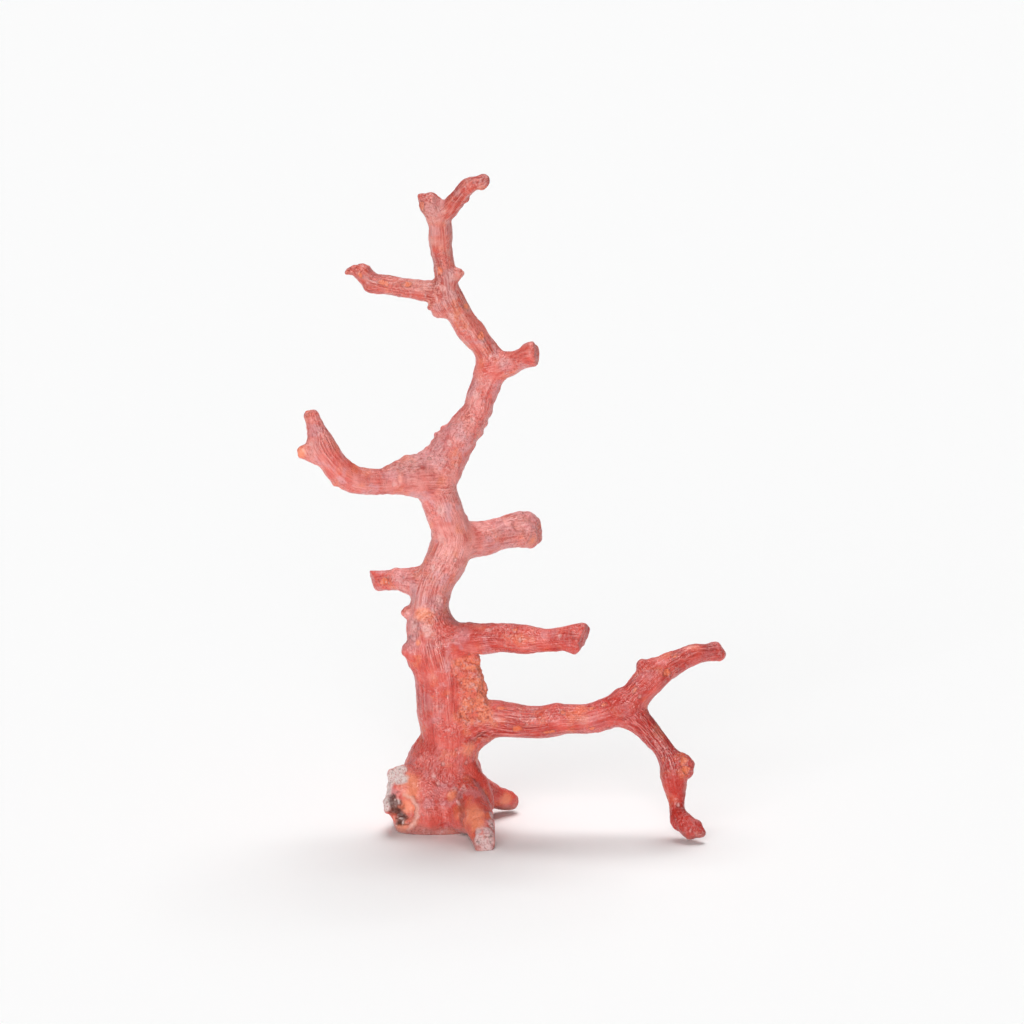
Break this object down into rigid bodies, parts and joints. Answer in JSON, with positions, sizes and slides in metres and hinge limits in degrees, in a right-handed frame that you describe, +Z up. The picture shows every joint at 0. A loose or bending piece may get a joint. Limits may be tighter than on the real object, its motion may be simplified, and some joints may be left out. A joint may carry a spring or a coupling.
{
  "type": "red coral branch",
  "caption": "Upright branching piece of red coral skeleton with bare side branches, short broken stubs and a spreading foot cut off flat, so that it stands free.",
  "frame": {"origin": "on the flat cut under the foot, below the trunk", "axes": "+Z up along the trunk, +X to the right as pictured (towards the long lower arm), -Y towards the viewer"},
  "size_m": [0.0938, 0.0379, 0.1469],
  "materials": {
    "coral_red": "satin"
  },
  "bodies": {
    "root": {"holdfast": "coral_red", "lower_stem": "coral_red", "middle_stem": "coral_red", "upper_stem": "coral_red", "crown_stem": "coral_red", "top_branch": "coral_red", "top_tip": "coral_red", "crown_left_branch": "coral_red", "upper_right_stub": "coral_red", "left_arm": "coral_red", "right_stub": "coral_red", "left_stub": "coral_red", "right_branch": "coral_red", "lower_arm": "coral_red", "lower_arm_rise": "coral_red", "lower_arm_drop": "coral_red"}
  },
  "joints": []
}
